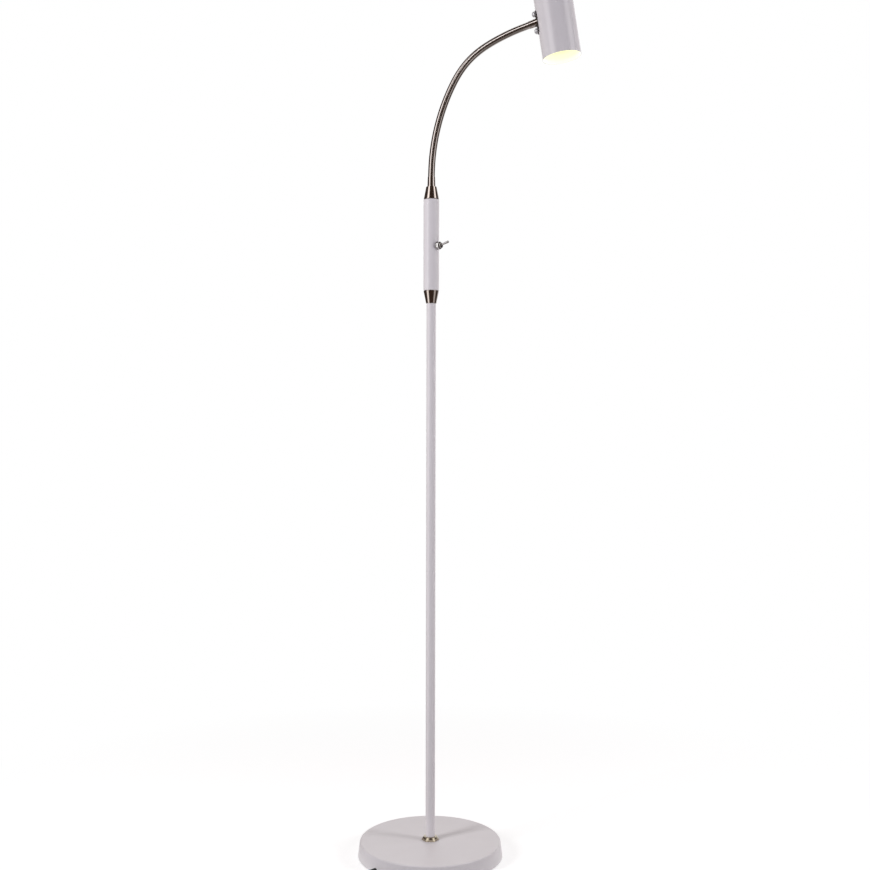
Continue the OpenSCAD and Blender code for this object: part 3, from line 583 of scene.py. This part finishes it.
def make_neck(looks):
    """The wound neck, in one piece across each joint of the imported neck.

    Returns what the neck's own light is for: these pieces and the sleeve at their upper end.
    """
    joints = neck_joints()
    low_sleeve_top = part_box("neck_lower_sleeve")[1].z
    foot = Vector((0, 0, low_sleeve_top - SLEEVE_BITE - RIB_PITCH))
    line, far, ends = neck_line(foot, [place for place, _, _ in joints])
    counts = [0] + [round(end / RIB_PITCH) for end in ends]
    pieces = []
    for i, (_, below, above) in enumerate(joints):
        name = f"neck_spiral_{i + 1:02d}"
        first, last = counts[i:i + 2]
        if i + 1 == CUT_JOINT:
            middle = (first + last) // 2
            lower = spiral_piece(name, line, far, first, middle, tucked=True)
            piece = spiral_piece(f"{name}_top", line, far, middle, last)
            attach(lower, below)
            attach(piece, above)
            pieces.append(lower)
        else:
            piece = spiral_piece(name, line, far, first, last)
            if i + 1 == BLENDED_DOWN:
                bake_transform(piece)
            else:
                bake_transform(piece)
        if i < len(joints) - 1:
            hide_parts(above)
        pieces.append(piece)
    for piece in pieces:
        piece.data.materials.append(looks["wound_nickel"])
    return pieces + [frame["nodes"]["neck_upper_sleeve"]]


# Stage and light

# Floor: its size, where metal stops mirroring it, where it fades to white, its tone and its added light
FLOOR_R = 1.7
FLOOR_WHITE_R = 0.12
FLOOR_DIM_R = 0.17
FLOOR_FADE = (0.35, 1.0)
FLOOR_TONE = (0.55, 0.55, 0.55, 1.0)
FLOOR_LIFT = 0.62

# Shell round the studio that only shiny surfaces see
SHELL_R = 4.3
SHELL_MIDDLE = 0.8
SHELL_ROWS = 32
SHELL_COLUMNS = 96

# What shiny surfaces mirror all round the studio, by azimuth from the camera, positive to the right
FRONT_TONE = (0.047, 0.030, 0.022)
SIDE_TONE = (0.05, 0.036, 0.030)
BACK_TONE = (0.85, 0.85, 0.86)
GROUND_TONE = (0.16, 0.145, 0.135)
SHELL_TONES = [
    (-170, BACK_TONE), (-150, SIDE_TONE), (-60, SIDE_TONE), (-30, FRONT_TONE), (40, FRONT_TONE),
    (70, SIDE_TONE), (112, SIDE_TONE), (150, BACK_TONE)]
GROUND_LEVELS = [(-2.6, 1.0), (-1.8, 0.0)]

# A tall soft box on each side: azimuths where it starts, is full and ends, and its levels by height
BOX_TINT = (1.0, 0.978, 0.982)
LEFT_BOX = (-79, -66, -48, -35)
LEFT_LEVELS = [(-2.2, 0.1), (-1.4, 1.3), (1.0, 1.75), (3.2, 1.75), (3.9, 0.1)]
RIGHT_BOX = (41, 54, 70, 83)
RIGHT_LEVELS = [(-2.2, 0.1), (-1.5, 0.8), (-0.6, 0.4), (0.6, 0.5), (1.5, 1.6), (3.2, 1.6), (3.9, 0.1)]
SHELL_LEAN = 0.03

# Panels that light matt surfaces: azimuth, distance, height, size and power
LIGHTS = {
    "key_left": (-55, 1.8, 1.05, (0.5, 0.8), 24.7),
    "key_right": (72, 1.8, 1.0, (0.5, 0.8), 15.1),
    "side_right": (100, 3.2, 1.2, (1.2, 2.4), 15),
}
# Panels that only small bright pieces take, one above the front for the line of light along the neck's
# arch and one on the left for the switch and screws: aim, azimuth, rise, distance, size and power
ARCH_LIGHT = (Vector((0.10, 0, 1.37)), -1, 30, 2.5, (1.34, 0.6), 7.3)
DETAIL_LIGHT = (Vector((0.08, 0, 1.15)), -62, 14, 2.5, (3.5, 1.1), 12)
DETAIL_NODES = ["switch_nut", "switch_washer", "switch_bushing", "switch_lever", "saddle_screws"]
LIGHT_TINT = (0.994, 0.993, 1.012)
AMBIENT_FRONT = (0.077, 0.071, 0.126)
AMBIENT_BACK = (0.614, 0.558, 0.494)


def seen_directly(tree):
    """1 for rays from the camera, off metal or through glass, 0 for the light that fills the scene."""
    path = add(tree, "ShaderNodeLightPath")
    value = path.outputs["Is Camera Ray"]
    for other in ("Is Glossy Ray", "Is Transmission Ray"):
        value = combine(tree, "MAXIMUM", value, path.outputs[other])
    return value


def make_world():
    """White where it is seen, and for matt surfaces a fill that is weaker from the front."""
    world = bpy.data.worlds.new("studio")
    bpy.context.scene.world = world
    world.use_nodes = True
    tree = world.node_tree
    tree.nodes.clear()
    output = add(tree, "ShaderNodeOutputWorld")
    coords = add(tree, "ShaderNodeTexCoord")
    axes = add(tree, "ShaderNodeSeparateXYZ")
    tree.links.new(coords.outputs["Generated"], axes.inputs["Vector"])
    depth = add(tree, "ShaderNodeMapRange", From_Min=-1.0, From_Max=1.0)
    tree.links.new(axes.outputs["Y"], depth.inputs["Value"])
    fill = add(tree, "ShaderNodeBackground", Strength=1.0)
    tree.links.new(mixed(tree, depth.outputs["Result"], AMBIENT_FRONT, AMBIENT_BACK), fill.inputs["Color"])
    white = add(tree, "ShaderNodeBackground", Color=(1, 1, 1, 1), Strength=1.0)
    shown = blended(tree, seen_directly(tree), fill.outputs["Background"], white.outputs["Background"])
    tree.links.new(shown, output.inputs["Surface"])


def stage_object(name, points, faces):
    """A piece of the studio, with an empty material that doesn't count as a light."""
    mesh = bpy.data.meshes.new(name)
    mesh.from_pydata(points, [], faces)
    stage = bpy.data.objects.new(name, mesh)
    bpy.context.scene.collection.objects.link(stage)
    material = bpy.data.materials.new(name)
    material.use_nodes = True
    material.node_tree.nodes.clear()
    material.cycles.emission_sampling = "NONE"
    mesh.materials.append(material)
    return stage, material.node_tree


def circle(r, z, corners):
    """Points round the vertical axis at one height."""
    turns = [2 * math.pi * k / corners for k in range(corners)]
    return [(r * math.cos(a), r * math.sin(a), z) for a in turns]


def round_floor():
    """A white floor that keeps the lamp's shadow.

    Metal mirrors it near the base, and further off the shell.
    """
    points = circle(FLOOR_R, 0, SHELL_COLUMNS)
    floor, tree = stage_object("floor", points, [tuple(range(SHELL_COLUMNS))])
    output = add(tree, "ShaderNodeOutputMaterial")
    matte = add(tree, "ShaderNodeBsdfDiffuse", Color=FLOOR_TONE)
    lift = add(tree, "ShaderNodeEmission", Color=(1, 1, 1, 1), Strength=FLOOR_LIFT)
    both = add(tree, "ShaderNodeAddShader")
    tree.links.new(matte.outputs["BSDF"], both.inputs[0])
    tree.links.new(lift.outputs["Emission"], both.inputs[1])
    coords = add(tree, "ShaderNodeTexCoord")
    distance = add(tree, "ShaderNodeVectorMath")
    distance.operation = "LENGTH"
    tree.links.new(coords.outputs["Object"], distance.inputs[0])
    far = add(tree, "ShaderNodeMapRange", From_Min=FLOOR_WHITE_R, From_Max=FLOOR_DIM_R)
    tree.links.new(distance.outputs["Value"], far.inputs["Value"])
    fade = add(tree, "ShaderNodeMapRange", From_Min=FLOOR_FADE[0], From_Max=FLOOR_FADE[1])
    tree.links.new(distance.outputs["Value"], fade.inputs["Value"])
    path = add(tree, "ShaderNodeLightPath")
    hidden = combine(tree, "MULTIPLY", path.outputs["Is Glossy Ray"], far.outputs["Result"])
    clear = add(tree, "ShaderNodeBsdfTransparent")
    white = add(tree, "ShaderNodeEmission", Color=(1, 1, 1, 1), Strength=1.0)
    shown = blended(tree, fade.outputs["Result"], both.outputs["Shader"], white.outputs["Emission"])
    lit = blended(tree, seen_directly(tree), matte.outputs["BSDF"], shown)
    surface = blended(tree, hidden, lit, clear.outputs["BSDF"])
    tree.links.new(surface, output.inputs["Surface"])


def studio_shell():
    """What metal mirrors: a dark front, a tall soft box on each side and white behind."""
    points = []
    faces = []
    for i in range(SHELL_ROWS + 1):
        tilt = math.pi * (i / SHELL_ROWS - 0.5)
        points += circle(SHELL_R * math.cos(tilt), SHELL_R * math.sin(tilt), SHELL_COLUMNS)
    for i in range(SHELL_ROWS):
        for k in range(SHELL_COLUMNS):
            a = i * SHELL_COLUMNS + k
            b = i * SHELL_COLUMNS + (k + 1) % SHELL_COLUMNS
            faces.append((a, b, b + SHELL_COLUMNS, a + SHELL_COLUMNS))
    shell, tree = stage_object("studio_shell", points, faces)
    shell.location.z = SHELL_MIDDLE
    for kind in ("camera", "diffuse", "transmission", "volume_scatter", "shadow"):
        setattr(shell, f"visible_{kind}", False)
    coords = add(tree, "ShaderNodeTexCoord")
    mirror = add(tree, "ShaderNodeMapping", Scale=(1, -1, 1))
    axes = add(tree, "ShaderNodeSeparateXYZ")
    tree.links.new(coords.outputs["Object"], mirror.inputs["Vector"])
    tree.links.new(mirror.outputs["Vector"], axes.inputs["Vector"])
    azimuth = combine(tree, "ARCTAN2", axes.outputs["X"], axes.outputs["Y"])
    lean = combine(tree, "MULTIPLY", axes.outputs["Z"], SHELL_LEAN)
    upright = combine(tree, "SUBTRACT", azimuth, lean)
    height = axes.outputs["Z"]
    around = ramp(tree, upright, -math.pi, math.pi, [(math.radians(a), tone) for a, tone in SHELL_TONES])
    ground = ramp(tree, height, -SHELL_R, SHELL_R, [(z, (v, v, v)) for z, v in GROUND_LEVELS])
    tone = mixed(tree, ground, around, GROUND_TONE)
    for edges, levels in ((LEFT_BOX, LEFT_LEVELS), (RIGHT_BOX, RIGHT_LEVELS)):
        stops = [(math.radians(a), [share * t for t in BOX_TINT]) for a, share in zip(edges, (0, 1, 1, 0))]
        across = ramp(tree, upright, -math.pi, math.pi, stops)
        level = ramp(tree, height, -SHELL_R, SHELL_R, [(z, (v, v, v)) for z, v in levels])
        box = add(tree, "ShaderNodeVectorMath")
        box.operation = "MULTIPLY_ADD"
        for socket, value in zip(box.inputs, (across, level, tone)):
            tree.links.new(value, socket)
        tone = box.outputs["Vector"]
    glow = add(tree, "ShaderNodeEmission", Strength=1.0)
    output = add(tree, "ShaderNodeOutputMaterial")
    tree.links.new(tone, glow.inputs["Color"])
    tree.links.new(glow.outputs["Emission"], output.inputs["Surface"])


def soft_panel(name, place, aim, size, power):
    """A rectangular light that the camera doesn't see."""
    data = bpy.data.lights.new(name, "AREA")
    data.shape = "RECTANGLE"
    data.size, data.size_y = size
    data.energy = power
    data.color = LIGHT_TINT
    light = bpy.data.objects.new(name, data)
    light.location = place
    light.rotation_euler = (aim - place).to_track_quat("-Z", "Y").to_euler()
    light.visible_camera = False
    bpy.context.scene.collection.objects.link(light)
    return light


def panel_light(name, azimuth, distance, height, size, power):
    """A light that matt surfaces take; metal mirrors the studio's shell instead."""
    a = math.radians(azimuth)
    place = Vector((distance * math.sin(a), -distance * math.cos(a), height))
    soft_panel(name, place, Vector((0, 0, SHELL_MIDDLE)), size, power).visible_glossy = False


def linked_light(name, takers, aim, azimuth, rise, distance, size, power):
    """A light that the given pieces alone take."""
    a = math.radians(azimuth)
    e = math.radians(rise)
    out = Vector((math.sin(a) * math.cos(e), -math.cos(a) * math.cos(e), math.sin(e)))
    light = soft_panel(name, aim + out * distance, aim, size, power)
    group = bpy.data.collections.new(name)
    for piece in takers:
        group.objects.link(piece)
    light.light_linking.receiver_collection = group


def make_stage(neck):
    """The studio round the lamp and its lights; neck lists what the arch light is for."""
    make_world()
    round_floor()
    studio_shell()
    for name, values in LIGHTS.items():
        panel_light(name, *values)
    linked_light("arch_light", neck, *ARCH_LIGHT)
    linked_light("detail_light", [frame["nodes"][name] for name in DETAIL_NODES], *DETAIL_LIGHT)


make_camera()
looks = make_looks()
make_cord(looks)
dress_nodes(looks)
neck = make_neck(looks)
make_stage(neck)

bpy.context.scene.view_settings.view_transform = "Standard"
